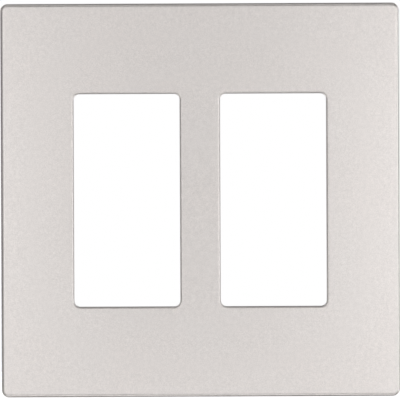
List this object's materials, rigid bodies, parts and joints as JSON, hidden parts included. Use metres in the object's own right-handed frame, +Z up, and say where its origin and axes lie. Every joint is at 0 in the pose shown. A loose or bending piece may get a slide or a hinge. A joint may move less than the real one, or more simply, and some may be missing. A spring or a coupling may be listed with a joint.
{
  "type": "screwless wall plate",
  "caption": "Screwless decorator wall plate for ganged switches or receptacles: a clip-on cover in metallic paint over a screwed sub-plate with captive screws.",
  "frame": {"origin": "the middle of the sub-plate's flat back face, which rests on the device yokes", "axes": "+X to the right along the width, +Y into the wall, +Z up; the plate faces -Y"},
  "size_m": [0.1254, 0.0168, 0.1238],
  "materials": {
    "metallic_paint": "satin warm silver metallic paint, with a fine even sparkle, over moulded polycarbonate",
    "moulded_plastic": "light grey moulded thermoplastic with a fine matt texture",
    "zinc_steel": "bright zinc plated steel",
    "fibre": "red vulcanised fibre"
  },
  "bodies": {
    "frame": {"sub_plate": "moulded_plastic"},
    "cover": {"cover_plate": "metallic_paint"},
    "screw_upper_left": {"mounting_screw_upper_left": "zinc_steel", "retaining_washer_upper_left": "fibre"},
    "screw_upper_right": {"mounting_screw_upper_right": "zinc_steel", "retaining_washer_upper_right": "fibre"},
    "screw_lower_left": {"mounting_screw_lower_left": "zinc_steel", "retaining_washer_lower_left": "fibre"},
    "screw_lower_right": {"mounting_screw_lower_right": "zinc_steel", "retaining_washer_lower_right": "fibre"}
  },
  "joints": [
    {"name": "cover_pull", "type": "slide", "parent": "frame", "child": "cover", "axis": [0, -1, 0], "range_m": [0, 0.025]},
    {"name": "screw_turn_upper_left", "type": "hinge", "parent": "frame", "child": "screw_upper_left", "pos_m": [-0.02302, 0, 0.04842], "axis": [0, 1, 0], "continuous": true},
    {"name": "screw_turn_upper_right", "type": "hinge", "parent": "frame", "child": "screw_upper_right", "pos_m": [0.02302, 0, 0.04842], "axis": [0, 1, 0], "continuous": true},
    {"name": "screw_turn_lower_left", "type": "hinge", "parent": "frame", "child": "screw_lower_left", "pos_m": [-0.02302, 0, -0.04842], "axis": [0, 1, 0], "continuous": true},
    {"name": "screw_turn_lower_right", "type": "hinge", "parent": "frame", "child": "screw_lower_right", "pos_m": [0.02302, 0, -0.04842], "axis": [0, 1, 0], "continuous": true}
  ]
}
